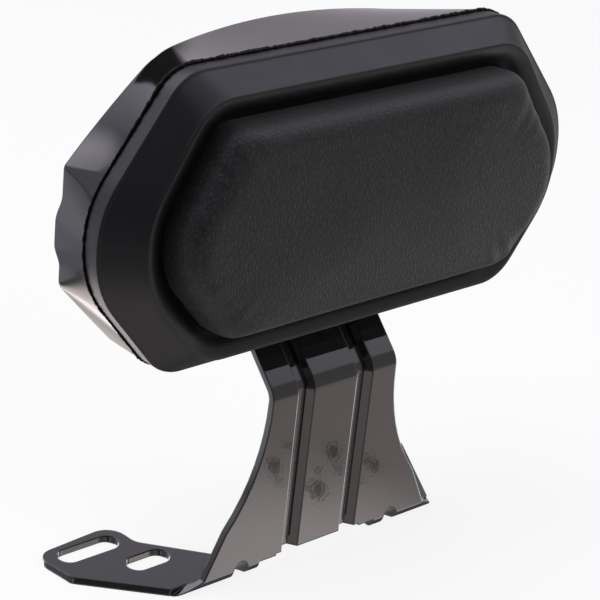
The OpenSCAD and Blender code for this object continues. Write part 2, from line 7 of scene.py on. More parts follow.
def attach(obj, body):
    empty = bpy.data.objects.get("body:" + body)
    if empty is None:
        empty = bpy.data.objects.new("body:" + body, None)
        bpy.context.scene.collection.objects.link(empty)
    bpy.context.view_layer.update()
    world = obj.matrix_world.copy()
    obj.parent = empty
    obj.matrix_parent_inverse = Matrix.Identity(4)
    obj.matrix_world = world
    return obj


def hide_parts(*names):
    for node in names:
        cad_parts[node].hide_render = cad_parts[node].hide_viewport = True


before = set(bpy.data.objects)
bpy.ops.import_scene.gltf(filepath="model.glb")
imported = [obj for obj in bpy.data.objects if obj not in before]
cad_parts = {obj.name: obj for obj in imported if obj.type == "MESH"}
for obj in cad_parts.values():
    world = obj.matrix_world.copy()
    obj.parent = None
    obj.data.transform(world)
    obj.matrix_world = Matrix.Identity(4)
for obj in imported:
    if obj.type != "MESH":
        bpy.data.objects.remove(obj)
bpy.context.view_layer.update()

# Bracket: one piece of 3.2 mm mild steel, blanked, pressed with two grooves and two gusset darts, and
# folded into the neck and the two slotted feet. It is stoved with gloss black enamel, which rounds
# every sheared edge and shows a faint orange peel.

MM = 0.001


def linear(code):
    """An sRGB hex colour as linear RGBA."""
    parts = [int(code[i:i + 2], 16) / 255 for i in (1, 3, 5)]
    return [c / 12.92 if c <= 0.04045 else ((c + 0.055) / 1.055) ** 2.4 for c in parts] + [1.0]


def add(tree, kind, inputs=None, **settings):
    """Adds a node, sets it, and fills or links its inputs, which are named or counted."""
    node = tree.nodes.new(kind)
    for key, value in settings.items():
        setattr(node, key, value)
    for key, value in (inputs or {}).items():
        if isinstance(value, bpy.types.NodeSocket):
            tree.links.new(value, node.inputs[key])
        else:
            node.inputs[key].default_value = value
    return node


def new_finish(name):
    """An empty material by that name, and its node tree."""
    finish = bpy.data.materials.new(name)
    finish.use_nodes = True
    finish.node_tree.nodes.clear()
    return finish, finish.node_tree


def place(name, mesh, finish, slot, *nodes, sharp=None):
    """Puts a mesh into the scene as a piece that rides on the part and stands for these CAD nodes."""
    piece = bpy.data.objects.new(name, mesh)
    bpy.context.scene.collection.objects.link(piece)
    mesh.materials.clear()
    mesh.materials.append(finish)
    mesh.polygons.foreach_set("use_smooth", [True] * len(mesh.polygons))
    if sharp:
        mesh.set_sharp_from_angle(angle=math.radians(sharp))
        even = piece.modifiers.new("even_shading", "WEIGHTED_NORMAL")
        even.keep_sharp = True
    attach(piece, "root")
    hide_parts(*nodes)
    return piece


def bracket_mesh():
    """The pressed bracket, merged from its CAD solid's triangles."""
    bm = bmesh.new()
    bm.from_mesh(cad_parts["bracket"].data)
    bmesh.ops.remove_doubles(bm, verts=bm.verts, dist=0.002 * MM)
    bmesh.ops.dissolve_limit(bm, angle_limit=math.radians(0.4), verts=bm.verts, edges=bm.edges)
    mesh = bpy.data.meshes.new("bracket_pressing")
    bm.to_mesh(mesh)
    bm.free()
    for name in ("custom_normal", "sharp_face", "sharp_edge"):
        if name in mesh.attributes:
            mesh.attributes.remove(mesh.attributes[name])
    return mesh


# Stoved enamel over steel: deep black under a hard clear skin, with a peel about 2 mm across; the paint
# draws back from sheared edges and rounds them
ENAMEL_PEEL, ENAMEL_EDGE_R = 2.2 * MM, 1.0 * MM
enamel, tree = new_finish("stoved_gloss_black_enamel")
where = add(tree, "ShaderNodeTexCoord").outputs["Object"]
peel = add(tree, "ShaderNodeTexNoise", {"Vector": where, "Scale": 1 / ENAMEL_PEEL, "Detail": 2.0,
                                        "Roughness": 0.4})
round_edge = add(tree, "ShaderNodeBevel", {"Radius": ENAMEL_EDGE_R}, samples=8)
peel_bump = add(tree, "ShaderNodeBump", {"Strength": 0.22, "Distance": 0.02 * MM,
                                         "Height": peel.outputs["Fac"], "Normal": round_edge.outputs[0]})
shader = add(tree, "ShaderNodeBsdfPrincipled", {
    "Base Color": linear("#080707"), "Roughness": 0.05, "IOR": 1.5,
    "Coat Weight": 0.9, "Coat Roughness": 0.02, "Coat IOR": 1.5,
    "Normal": peel_bump.outputs[0], "Coat Normal": peel_bump.outputs[0]})
add(tree, "ShaderNodeOutputMaterial", {"Surface": shader.outputs[0]})

place("bracket_pressing", bracket_mesh(), enamel, "bracket", "bracket", sharp=24)

# Rear shell: a hollow back moulded in black ABS, straight from a polished tool. Its rounded outline at
# the seam runs out into a crisp octagon at the bowed back, which carries one raised band, bosses for
# the bracket's bolts and wells for the closing screws.

SEAM_Y, HEAD_Z = (15.2 - 28.5), 164.0
LEAN = math.radians(3.8)


def in_row(x, up, out):
    """A point of the head, in mm across, up the head and forward of the seam, as a point of the part."""
    return Vector((x, SEAM_Y + up * math.sin(LEAN) - out * math.cos(LEAN),
                   HEAD_Z + up * math.cos(LEAN) + out * math.sin(LEAN))) * MM


def outline_circles(w, end_r, high, low, top, bottom, r, top_len, bottom_len):
    """Eight circles, (x, y, radius), whose outer tangents make an outline of the head."""
    return [(w / 2 - end_r, -low, end_r), (w / 2 - end_r, high, end_r),
            (top_len / 2, top - r, r), (-top_len / 2, top - r, r),
            (end_r - w / 2, high, end_r), (end_r - w / 2, -low, end_r),
            (-bottom_len / 2, r - bottom, r), (bottom_len / 2, r - bottom, r)]


SEAM = outline_circles(250, 42, 1, 1, 65, 57, 20, 153, 166)
BACK = outline_circles(240, 3, 26.4, 19.9, 63, 55, 16, 153, 161)
for i, side in ((2, 1), (3, -1)):
    BACK[i] = (side * 57, 33, 30)
for i, side in ((5, -1), (0, 1)):
    BACK[i] = (side * 117.6, -20.0, 4.5)
for i, side in ((6, -1), (7, 1)):
    BACK[i] = (side * 85, -51.5, 6)
BACK_ARCH, ARCH_HALF = 5.0, 66.0


def square_to(a, b):
    """Direction square to the outer tangent from circle a to circle b, going round anticlockwise."""
    dx, dy = b[0] - a[0], b[1] - a[1]
    return math.atan2(dy, dx) - math.acos((a[2] - b[2]) / math.hypot(dx, dy))


def along(circles, grow, s):
    """A point of the outline grown by so many mm: arc i runs from s = 2i to 2i + 1, then its tangent."""
    part, f = int(s % 16), s % 1
    before, here, after = circles[part // 2 - 1], circles[part // 2], circles[(part // 2 + 1) % 8]
    start = square_to(before, here)
    turn = (square_to(here, after) - start) % (2 * math.pi)
    a = start + turn * (f if part % 2 == 0 else 1)
    p, q = [(c[0] + (c[2] + grow) * math.cos(a), c[1] + (c[2] + grow) * math.sin(a)) for c in (here, after)]
    return p if part % 2 == 0 else (p[0] + (q[0] - p[0]) * f, p[1] + (q[1] - p[1]) * f)


def spaced(circles, grow, keys, steps):
    """Points round the outline, evenly spaced from each key place to the next, with so many steps."""
    found = []
    for i, n in enumerate(steps):
        lo, hi = keys[i], keys[i + 1] if i + 1 < len(keys) else keys[0] + 16
        fine = [along(circles, grow, lo + (hi - lo) * k / 48) for k in range(49)]
        runs = [0.0]
        for p, q in zip(fine, fine[1:]):
            runs.append(runs[-1] + math.hypot(q[0] - p[0], q[1] - p[1]))
        j = 0
        for k in range(n):
            while j < 47 and runs[j + 1] < runs[-1] * k / n:
                j += 1
            t = (runs[-1] * k / n - runs[j]) / (runs[j + 1] - runs[j])
            found.append(tuple(u + (v - u) * t for u, v in zip(fine[j], fine[j + 1])))
    return found


EVEN_KEYS, EVEN_STEPS = list(range(16)), [9, 2, 9, 14, 9, 24, 9, 14, 9, 2, 9, 14, 9, 24, 9, 14]


def ring(circles, grow):
    """Points round the circles, all grown by so many mm; every ring has as many points."""
    return spaced(circles, grow, EVEN_KEYS, EVEN_STEPS)


# Places on the seam and on the back that the shell's walls join: the ends, slants and corners
SEAM_KEYS = [2.7, 3.05, 4, 5, 6, 7, 7.95, 8.3, 10.4, 11.0, 12, 13, 14, 15, 16.0, 16.6]
BACK_KEYS = [2.0, 3.0, 4, 5, 6, 7, 8.0, 9.0, 10.0, 11.0, 12, 13, 14, 15, 16.0, 17.0]
WALL_STEPS = [8, 10, 9, 24, 9, 10, 8, 40, 8, 9, 9, 24, 9, 9, 8, 40]


def back_ring(grow):
    """The back's outline, whose top edge is arched."""
    return [(x, y - BACK_ARCH * max(0, y) / 63 * (min(abs(x), ARCH_HALF) / ARCH_HALF) ** 2)
            for x, y in spaced(BACK, grow, BACK_KEYS, WALL_STEPS)]


def skin(name, rings):
    """A closed skin over rings of as many points each, given in mm in the head's frame."""
    bm = bmesh.new()
    rows = [[bm.verts.new(in_row(*p)) for p in points] for points in rings]
    n = len(rows[0])
    for low, high in zip(rows, rows[1:]):
        for i in range(n):
            k = (i + 1) % n
            bm.faces.new((low[i], low[k], high[k], high[i]))
    for row, turned in ((rows[0], True), (rows[-1], False)):
        hub = bm.verts.new(sum((v.co for v in row), Vector()) / n)
        for i in range(n):
            k = (i + 1) % n
            bm.faces.new((row[k], row[i], hub) if turned else (row[i], row[k], hub))
    bmesh.ops.recalc_face_normals(bm, faces=bm.faces)
    mesh = bpy.data.meshes.new(name)
    bm.to_mesh(mesh)
    bm.free()
    return mesh


SHELL_DEPTH, BACK_R, SHELL_T, EDGE_R, SEAL_T = 43.0, 345.0, 2.5, 1.6, 0.8
BAND_H, BAND_TOP, BAND_LOW, BAND_RISE, BAND_FALL = 3.8, 2.5, -6.5, 12.0, 8.0


def ramp(t):
    t = min(1.0, max(0.0, t))
    return t * t * (3 - 2 * t)


def back_depth(x, y=99.0):
    """Depth of the bowed back behind the seam, with the band that swells out of it across the middle."""
    band = ramp((BAND_TOP + BAND_RISE - y) / BAND_RISE) * ramp((y - BAND_LOW + BAND_FALL) / BAND_FALL)
    return SHELL_DEPTH - BACK_R + math.sqrt(BACK_R * BACK_R - x * x) + BAND_H * band


def shell_side(wall):
    """Rings over the outside of the shell, or the inside with a wall, from the back to the seam."""
    rings = [[(x * s, y * s, wall - back_depth(x * s, y * s)) for x, y in back_ring(-EDGE_R - wall)]
             for s in [0.02, 0.05, 0.08, 0.11, 0.14, 0.17, 0.2, 0.23, 0.26, 0.3, 0.36, 0.44, 0.54, 0.65,
                       0.76, 0.87, 0.95]]
    for k in range(7):
        a = math.radians(90 - 15 * k)
        rings.append([(x, y, wall + EDGE_R * (1 - math.sin(a)) - back_depth(x, y))
                      for x, y in back_ring(-wall - EDGE_R * (1 - math.cos(a)))])
    rim, last = spaced(SEAM, -wall, SEAM_KEYS, WALL_STEPS), rings[-1]
    for k in range(1, 13):
        t = k / 12
        rings.append([(p[0] * (1 - t) + q[0] * t, p[1] * (1 - t) + q[1] * t, p[2] * (1 - t) - SEAL_T * t)
                      for p, q in zip(last, rim)])
    return rings


def rod(name, spots, r, low, high, sides=40):
    """Round bars at these places of the head, as one mesh."""
    bm = bmesh.new()
    for x, y in spots:
        lo = low(x) if callable(low) else low
        made = bmesh.ops.create_cone(bm, cap_ends=True, segments=sides, radius1=r * MM, radius2=r * MM,
                                     depth=(high - lo) * MM)
        turn = Matrix.Rotation(math.pi / 2 - LEAN, 4, "X")
        bmesh.ops.transform(bm, verts=made["verts"],
                            matrix=Matrix.Translation(in_row(x, y, (lo + high) / 2)) @ turn)
    mesh = bpy.data.meshes.new(name)
    bm.to_mesh(mesh)
    bm.free()
    return mesh


def carved(name, mesh, steps):
    """The mesh after each step: (UNION or DIFFERENCE, the other mesh)."""
    body = bpy.data.objects.new(name, mesh)
    bpy.context.scene.collection.objects.link(body)
    tools = []
    for operation, tool_mesh in steps:
        tool = bpy.data.objects.new("tool", tool_mesh)
        bpy.context.scene.collection.objects.link(tool)
        step = body.modifiers.new(operation, "BOOLEAN")
        step.operation, step.object, step.solver = operation, tool, "EXACT"
        tools.append(tool)
    bpy.context.view_layer.update()
    result = bpy.data.meshes.new_from_object(body.evaluated_get(bpy.context.evaluated_depsgraph_get()))
    for o in tools + [body]:
        bpy.data.objects.remove(o)
    result.name = name
    return result


BOLTS = [(x, y) for x in (-28.17, 28.17) for y in (-34, 10)]
CLOSERS = [(x, y) for x in (-72, 72) for y in (-30, 38)]
TONGUE_BACK = -16 - 3.2 - 0.02
NECK_LEAN, KINK_Z, KINK_CUT = math.radians(45), 84.8, 10 * math.tan(math.radians(22.5))
NECK_L = (16 + 15.2 * math.cos(LEAN) + (KINK_Z - HEAD_Z) * math.sin(LEAN)) / math.sin(NECK_LEAN - LEAN)


def passage_mesh():
    """Room for the neck through the shell's bottom wall."""
    bm = bmesh.new()
    bmesh.ops.create_cube(bm, size=1)
    length = NECK_L - KINK_CUT + 4
    bmesh.ops.scale(bm, verts=bm.verts, vec=Vector((69 + 1.6, 4 + 3.2 + 1.6, length)) * MM)
    bmesh.ops.translate(bm, verts=bm.verts, vec=Vector((0, 3.6, KINK_CUT + length / 2)) * MM)
    bmesh.ops.transform(bm, verts=bm.verts, matrix=Matrix.Translation(Vector((0, -28.5, KINK_Z)) * MM)
                        @ Matrix.Rotation(-NECK_LEAN, 4, "X"))
    mesh = bpy.data.meshes.new("passage")
    bm.to_mesh(mesh)
    bm.free()
    return mesh


def inner_wall(x):
    return SHELL_T / 2 - back_depth(x)


shell_mesh = carved("rear_shell_moulding", skin("shell", shell_side(0) + shell_side(SHELL_T)[::-1]), [
    ("UNION", rod("bosses", BOLTS, 5.4, inner_wall, TONGUE_BACK)),
    ("UNION", rod("well_walls", CLOSERS, 1.9 + 2.9 + 1.6, inner_wall, -10)),
    ("DIFFERENCE", rod("insert_holes", BOLTS, 3.6, TONGUE_BACK - 12, TONGUE_BACK + 1)),
    ("DIFFERENCE", rod("wells", CLOSERS, 4.8, -48, -16)),
    ("DIFFERENCE", rod("screw_holes", CLOSERS, 2.2, -17, -1)),
    ("DIFFERENCE", passage_mesh())])

# Black ABS from a polished tool: a mirror skin that waves slightly, about 12 mm from crest to crest,
# with fine dust on it
ABS_WAVE, ABS_DUST = 12 * MM, 0.5 * MM
gloss_abs, tree = new_finish("polished_black_abs")
where = add(tree, "ShaderNodeTexCoord").outputs["Object"]
wave = add(tree, "ShaderNodeTexNoise", {"Vector": where, "Scale": 1 / ABS_WAVE, "Detail": 1.0})
wave_bump = add(tree, "ShaderNodeBump", {"Strength": 0.3, "Distance": 0.05 * MM,
                                         "Height": wave.outputs["Fac"]})
dust = add(tree, "ShaderNodeTexNoise", {"Vector": where, "Scale": 1 / ABS_DUST, "Detail": 2.0})
dust_share = add(tree, "ShaderNodeMapRange", {"Value": dust.outputs["Fac"], "From Min": 0.62,
                                              "From Max": 0.80, "To Min": 0.05, "To Max": 0.20})
shader = add(tree, "ShaderNodeBsdfPrincipled", {
    "Base Color": linear("#0b0a0b"), "Roughness": dust_share.outputs[0], "IOR": 1.54,
    "Normal": wave_bump.outputs[0]})
add(tree, "ShaderNodeOutputMaterial", {"Surface": shader.outputs[0]})

place("rear_shell_moulding", shell_mesh, gloss_abs, "rear_shell", "rear_shell", sharp=26)

# Fixings inside the shell: brass inserts pressed into the bosses, and zinc plated bolts with plain and
# spring washers that hold the bracket's tongue. The closing screws in the wells are blackened.


def dress(finish, *nodes):
    """Gives CAD nodes that stay as they are their finish."""
    for node in nodes:
        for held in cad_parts[node].material_slots:
            held.material = finish


# Turned brass: fine turning lines about 0.3 mm apart
brass, tree = new_finish("turned_brass")
where = add(tree, "ShaderNodeTexCoord").outputs["Object"]
lines = add(tree, "ShaderNodeTexWave", {"Vector": where, "Scale": 1 / (0.3 * MM) / 20, "Distortion": 0.5},
            bands_direction="Y")
turned = add(tree, "ShaderNodeBump", {"Strength": 0.2, "Distance": 0.01 * MM, "Height": lines.outputs["Fac"]})
shader = add(tree, "ShaderNodeBsdfPrincipled", {
    "Base Color": linear("#c9a24e"), "Metallic": 1.0, "Roughness": 0.32, "Normal": turned.outputs[0]})
add(tree, "ShaderNodeOutputMaterial", {"Surface": shader.outputs[0]})

# Bright zinc: a slightly cloudy plating, with clouds about 1.5 mm across
zinc, tree = new_finish("bright_zinc_plating")
where = add(tree, "ShaderNodeTexCoord").outputs["Object"]
cloud = add(tree, "ShaderNodeTexNoise", {"Vector": where, "Scale": 1 / (1.5 * MM), "Detail": 3.0})
cloud_tone = add(tree, "ShaderNodeMix", {0: cloud.outputs["Fac"], 6: linear("#a9abb0"), 7: linear("#c8c9cc")},
                 data_type="RGBA")
cloud_gloss = add(tree, "ShaderNodeMapRange", {"Value": cloud.outputs["Fac"], "To Min": 0.25, "To Max": 0.42})
shader = add(tree, "ShaderNodeBsdfPrincipled", {
    "Base Color": cloud_tone.outputs[2], "Metallic": 1.0, "Roughness": cloud_gloss.outputs[0]})
add(tree, "ShaderNodeOutputMaterial", {"Surface": shader.outputs[0]})

# Blackened steel: an oiled oxide skin, a little grey where it is rubbed
oxide, tree = new_finish("black_oxide_steel")
where = add(tree, "ShaderNodeTexCoord").outputs["Object"]
rub = add(tree, "ShaderNodeTexNoise", {"Vector": where, "Scale": 1 / (1.2 * MM), "Detail": 4.0})
rub_tone = add(tree, "ShaderNodeMix", {0: rub.outputs["Fac"], 6: linear("#1c1b1c"), 7: linear("#45444a")},
               data_type="RGBA")
shader = add(tree, "ShaderNodeBsdfPrincipled", {
    "Base Color": rub_tone.outputs[2], "Metallic": 0.8, "Roughness": 0.38})
add(tree, "ShaderNodeOutputMaterial", {"Surface": shader.outputs[0]})

dress(brass, "boss_inserts")
dress(zinc, "bracket_bolts", "bracket_washers", "cushion_screws")
dress(oxide, "bracket_spring_washers", "shell_screws")

# Base: a flat plate moulded in black polypropylene, with a post for each closing screw. The cushion's
# surround is screwed to it, and it closes the shell's open side.

# Moulded polypropylene: waxy and matt, with a grain of about 0.6 mm
waxy, tree = new_finish("matt_black_polypropylene")
where = add(tree, "ShaderNodeTexCoord").outputs["Object"]
grain = add(tree, "ShaderNodeTexNoise", {"Vector": where, "Scale": 1 / (0.6 * MM), "Detail": 2.0})
grain_bump = add(tree, "ShaderNodeBump", {"Strength": 0.4, "Distance": 0.03 * MM, "Height": grain.outputs["Fac"]})
shader = add(tree, "ShaderNodeBsdfPrincipled", {
    "Base Color": linear("#202022"), "Roughness": 0.55, "Normal": grain_bump.outputs[0]})
add(tree, "ShaderNodeOutputMaterial", {"Surface": shader.outputs[0]})
dress(waxy, "pad_base")

# Seam seal: a bead of black mastic that was pressed out of the seam and trimmed by knife. It follows
# the seam all round, thin at the ends, thick and torn along the top, with a few lumps at the corners.

MASTIC_R, TOP_EXTRA, LUMP = 0.62, 0.4, 0.9


def bead_mesh(finish):
    """The bead, swept along the seam by Geometry Nodes, rough and of uneven thickness."""
    path = bpy.data.meshes.new("seam_path")
    points = [in_row(x, y, -SEAL_T / 2) for x, y in ring(SEAM, -0.15)]
    path.from_pydata(points, [(i, (i + 1) % len(points)) for i in range(len(points))], [])
    bead = bpy.data.objects.new("seam_path", path)
    bpy.context.scene.collection.objects.link(bead)
    group = bpy.data.node_groups.new("torn_bead", "GeometryNodeTree")
    group.interface.new_socket("Geometry", in_out="INPUT", socket_type="NodeSocketGeometry")
    for name in ("Bead radius", "Extra at the top", "Lump size", "Spacing"):
        group.interface.new_socket(name, in_out="INPUT", socket_type="NodeSocketFloat")
    group.interface.new_socket("Geometry", in_out="OUTPUT", socket_type="NodeSocketGeometry")
    given = add(group, "NodeGroupInput")
    line = add(group, "GeometryNodeMeshToCurve", {0: given.outputs["Geometry"]})
    even = add(group, "GeometryNodeResampleCurve", {"Curve": line.outputs[0],
                                                    "Length": given.outputs["Spacing"]}, mode="LENGTH")
    spot = add(group, "GeometryNodeInputPosition")
    height = add(group, "ShaderNodeSeparateXYZ", {0: spot.outputs[0]})
    top = add(group, "ShaderNodeMapRange", {"Value": height.outputs["Z"],
                                            "From Min": (HEAD_Z + 30) * MM, "From Max": (HEAD_Z + 58) * MM})
    torn = add(group, "ShaderNodeTexNoise", {"Vector": spot.outputs[0], "Scale": 1 / (2.0 * MM),
                                             "Detail": 3.0, "Roughness": 0.7})
    spread = add(group, "ShaderNodeMapRange", {"Value": torn.outputs[0], "From Min": 0.3, "From Max": 0.75,
                                               "To Min": 0.55, "To Max": 1.35})
    thick = add(group, "ShaderNodeMath", {0: top.outputs[0], 1: given.outputs["Extra at the top"],
                                          2: given.outputs["Bead radius"]}, operation="MULTIPLY_ADD")
    radius = add(group, "ShaderNodeMath", {0: thick.outputs[0], 1: spread.outputs[0]}, operation="MULTIPLY")
    profile = add(group, "GeometryNodeCurvePrimitiveCircle", {"Resolution": 8, "Radius": 1.0})
    swept = add(group, "GeometryNodeCurveToMesh", {"Curve": even.outputs[0],
                                                   "Profile Curve": profile.outputs[0],
                                                   "Scale": radius.outputs[0]})
    rough = add(group, "ShaderNodeTexNoise", {"Vector": spot.outputs[0], "Scale": 1 / (1.4 * MM),
                                              "Detail": 2.0}, noise_dimensions="3D")
    centred = add(group, "ShaderNodeVectorMath", {0: rough.outputs["Color"], 1: (0.5, 0.5, 0.5)},
                  operation="SUBTRACT")
    shift = add(group, "ShaderNodeVectorMath", {0: centred.outputs[0], "Scale": given.outputs["Lump size"]},
                operation="SCALE")
    moved = add(group, "GeometryNodeSetPosition", {"Geometry": swept.outputs[0], "Offset": shift.outputs[0]})
    real = add(group, "GeometryNodeRealizeInstances", {0: moved.outputs[0]})
    dressed = add(group, "GeometryNodeSetMaterial", {"Geometry": real.outputs[0], "Material": finish})
    add(group, "NodeGroupOutput", {0: dressed.outputs[0]})
    run = bead.modifiers.new("torn_bead", "NODES")
    run.node_group = group
    sizes = {"Bead radius": MASTIC_R * MM, "Extra at the top": TOP_EXTRA * MM, "Lump size": LUMP * MM,
             "Spacing": 0.8 * MM}
    for item in group.interface.items_tree:
        if item.in_out == "INPUT" and item.name in sizes:
            run[item.identifier] = sizes[item.name]
    bpy.context.view_layer.update()
    made = bpy.data.meshes.new_from_object(bead.evaluated_get(bpy.context.evaluated_depsgraph_get()))
    bpy.data.objects.remove(bead)
    made.name = "seam_bead"
    return made


# Cured mastic: dead black, half shiny on its torn lumps
mastic, tree = new_finish("cured_black_mastic")
where = add(tree, "ShaderNodeTexCoord").outputs["Object"]
torn = add(tree, "ShaderNodeTexNoise", {"Vector": where, "Scale": 1 / (0.8 * MM), "Detail": 3.0})
torn_bump = add(tree, "ShaderNodeBump", {"Strength": 0.6, "Distance": 0.2 * MM, "Height": torn.outputs["Fac"]})
torn_gloss = add(tree, "ShaderNodeMapRange", {"Value": torn.outputs["Fac"], "To Min": 0.25, "To Max": 0.6})
shader = add(tree, "ShaderNodeBsdfPrincipled", {
    "Base Color": linear("#020202"), "Roughness": torn_gloss.outputs[0], "Specular IOR Level": 0.15,
    "Normal": torn_bump.outputs[0]})
add(tree, "ShaderNodeOutputMaterial", {"Surface": shader.outputs[0]})
place("seam_bead", bead_mesh(mastic), mastic, "seam_seal", "seam_seal")

# Surround: the moulded rim that frames the cushion. An upright lip meets the shell, a broad face rises
# from it to a soft crest, and a groove drops from the crest to the cushion. It is satin black ABS.

POCKET = outline_circles(199, 30, 1, 1, 45.7, 40, 12, 140, 142)
LIP_H, LIP_ROUND, CREST_H, CREST_W, GROOVE_H, POCKET_H = 8.7, 1.0, 20.0, 10.0, 15.0, 6.0


def lift(points, out):
    return [(x, y, out) for x, y in points]


def between(a, b, t):
    return [tuple(p * (1 - t) + q * t for p, q in zip(u, v)) for u, v in zip(a, b)]


def faired(rings, steps):
    """More rings on smooth curves through these."""
    made = []
    for i in range(len(rings) - 1):
        before, after = rings[max(i - 1, 0)], rings[min(i + 2, len(rings) - 1)]
        for k in range(steps):
            t = k / steps
            w = (-0.5 * t + t * t - 0.5 * t ** 3, 1 - 2.5 * t * t + 1.5 * t ** 3,
                 0.5 * t + 2 * t * t - 1.5 * t ** 3, -0.5 * t * t + 0.5 * t ** 3)
            made.append([tuple(sum(c * p[j] for c, p in zip(w, four)) for j in range(3))
                         for four in zip(before, rings[i], rings[i + 1], after)])
    return made + [rings[-1]]


lip = lift(ring(SEAM, -LIP_ROUND), LIP_H)
crest = lift(ring(POCKET, CREST_W), CREST_H)
lip_edge = [lift(ring(SEAM, -LIP_ROUND * (1 - math.cos(a))), LIP_H - LIP_ROUND * (1 - math.sin(a)))
            for a in (0, math.pi / 8, math.pi / 4, 3 * math.pi / 8)]
face = faired([lip, between(lip, crest, 0.45), between(lip, crest, 0.85), crest,
               lift(ring(POCKET, 0.6 * CREST_W), CREST_H - 1.0),
               lift(ring(POCKET, 0.22 * CREST_W), CREST_H - 3.75), lift(ring(POCKET, 0), GROOVE_H)], 5)
surround_rings = ([lift(ring(SEAM, -0.4), 0), lift(ring(SEAM, -0.2), LIP_H / 2)] + lip_edge + face
                  + [lift(ring(POCKET, 0), POCKET_H + 4), lift(ring(POCKET, 0), POCKET_H)])

# Satin black ABS from a spark-eroded tool: grain about 0.35 mm, drawn at 0.7 mm so that it shows
SATIN_GRAIN = 0.7 * MM
satin, tree = new_finish("satin_black_abs")
where = add(tree, "ShaderNodeTexCoord").outputs["Object"]
grain = add(tree, "ShaderNodeTexNoise", {"Vector": where, "Scale": 1 / SATIN_GRAIN, "Detail": 2.0})
cloud = add(tree, "ShaderNodeTexNoise", {"Vector": where, "Scale": 1 / (14 * MM), "Detail": 3.0})
grain_bump = add(tree, "ShaderNodeBump", {"Strength": 0.35, "Distance": 0.04 * MM,
                                          "Height": grain.outputs["Fac"]})
satin_gloss = add(tree, "ShaderNodeMapRange", {"Value": cloud.outputs["Fac"], "To Min": 0.36, "To Max": 0.48})
shader = add(tree, "ShaderNodeBsdfPrincipled", {
    "Base Color": linear("#0d0d10"), "Roughness": satin_gloss.outputs[0], "IOR": 1.5,
    "Normal": grain_bump.outputs[0]})
add(tree, "ShaderNodeOutputMaterial", {"Surface": shader.outputs[0]})
place("pad_surround_moulding", skin("pad_surround_moulding", surround_rings), satin, "pad_surround",
      "pad_surround", sharp=50)

# Cushion: a block of foam on a board, under a cover of black grained upholstery leather whose hem is
# stapled behind the board. The face is slightly crowned, the shoulder is round, and the leather
# puckers softly where it is drawn round the corners.

CUSHION_GAP, CUSHION_H, SHOULDER_R, CROWN = 0.3, 33.5, 10.0, 3.0
FACE = outline_circles(178.5, 26, 1, 1, 35.4, 29.7, 22, 108, 112)
LEATHER_MESH = 1.6


def cushion_rings():
    top = CUSHION_H - SHOULDER_R
    side, rim = ring(POCKET, -CUSHION_GAP), ring(FACE, 0)
    rings = [lift(side, h) for h in (POCKET_H, 10, 13, 16, 18.5, 21)]
    for k in range(13):
        a = math.radians(7.5 * k)
        rings.append(lift(between(side, rim, 1 - math.cos(a)), top + SHOULDER_R * math.sin(a)))
    for s in [0.97, 0.94, 0.9, 0.85, 0.8, 0.74, 0.68, 0.62, 0.55, 0.48, 0.41, 0.34, 0.27, 0.2, 0.13, 0.06]:
        rings.append([(x * s, y * s, CUSHION_H + CROWN * (1 - s * s)) for x, y in rim])
    return rings


def in_head(co):
    """A point of the part as mm across, up the head and forward of the seam."""
    d = co / MM - Vector((0, SEAM_Y, HEAD_Z))
    return (d.x, d.y * math.sin(LEAN) + d.z * math.cos(LEAN), d.z * math.sin(LEAN) - d.y * math.cos(LEAN))


def soft(p):
    """How far the leather lies off the plain form at a point in mm: slack, and puckers at the corners."""
    x, y, z = p
    if z < 17:
        return 0.0
    fade = min(1.0, (z - 17) / 6)
    slack = 0.55 * noise.noise(Vector((x / 38, y / 30, z / 30)))
    corner = max(0.0, 1 - math.hypot(abs(x) - 78, abs(y) - 26) / 30)
    edge = max(0.0, 1 - max(0.0, z - 33) / 1.6)
    along = math.atan2(y * 0.8, abs(x) - 50) * 9
    pucker = 0.7 * corner * edge * noise.noise(Vector((along, z / 14, 3.1 if x < 0 else 7.7)))
    return fade * (slack + pucker)


def cushion_mesh():
    """The plain form, meshed evenly, smoothed, and then drawn into its slack and puckers."""
    form = bpy.data.objects.new("cushion_form", skin("cushion_form", cushion_rings()))
    bpy.context.scene.collection.objects.link(form)
    even = form.modifiers.new("even_mesh", "REMESH")
    even.mode, even.voxel_size = "VOXEL", LEATHER_MESH * MM
    calm = form.modifiers.new("calm", "SMOOTH")
    calm.factor, calm.iterations = 0.5, 8
    bpy.context.view_layer.update()
    mesh = bpy.data.meshes.new_from_object(form.evaluated_get(bpy.context.evaluated_depsgraph_get()))
    bpy.data.objects.remove(form)
    normals = [v.normal.copy() for v in mesh.vertices]
    for v, out in zip(mesh.vertices, normals):
        x, up, ahead = in_head(v.co)
        v.co += out * soft((x, up, ahead)) * MM
    mesh.name = "cushion_leather"
    return mesh


# Grained upholstery leather: pebbles about 1 mm wide and 1.7 mm tall with fine valleys between, in a
# soft matt topcoat
PEBBLE_W, PEBBLE_H = 1.05 * MM, 1.75 * MM
leather, tree = new_finish("grained_black_leather")
where = add(tree, "ShaderNodeTexCoord").outputs["Object"]
drawn = add(tree, "ShaderNodeMapping", {"Vector": where, "Scale": (1 / PEBBLE_W, 1 / PEBBLE_W, 1 / PEBBLE_H)})
wander = add(tree, "ShaderNodeTexNoise", {"Vector": drawn.outputs[0], "Scale": 0.7, "Detail": 2.0})
bent = add(tree, "ShaderNodeMix", {0: 0.35, 4: drawn.outputs[0], 5: wander.outputs["Color"]},
           data_type="VECTOR")
pebbles = add(tree, "ShaderNodeTexVoronoi", {"Vector": bent.outputs[1], "Scale": 1.0},
              feature="DISTANCE_TO_EDGE")
domed = add(tree, "ShaderNodeMapRange", {"Value": pebbles.outputs["Distance"], "From Max": 0.32},
            interpolation_type="SMOOTHSTEP")
fine = add(tree, "ShaderNodeTexNoise", {"Vector": where, "Scale": 1 / (0.5 * MM), "Detail": 3.0})
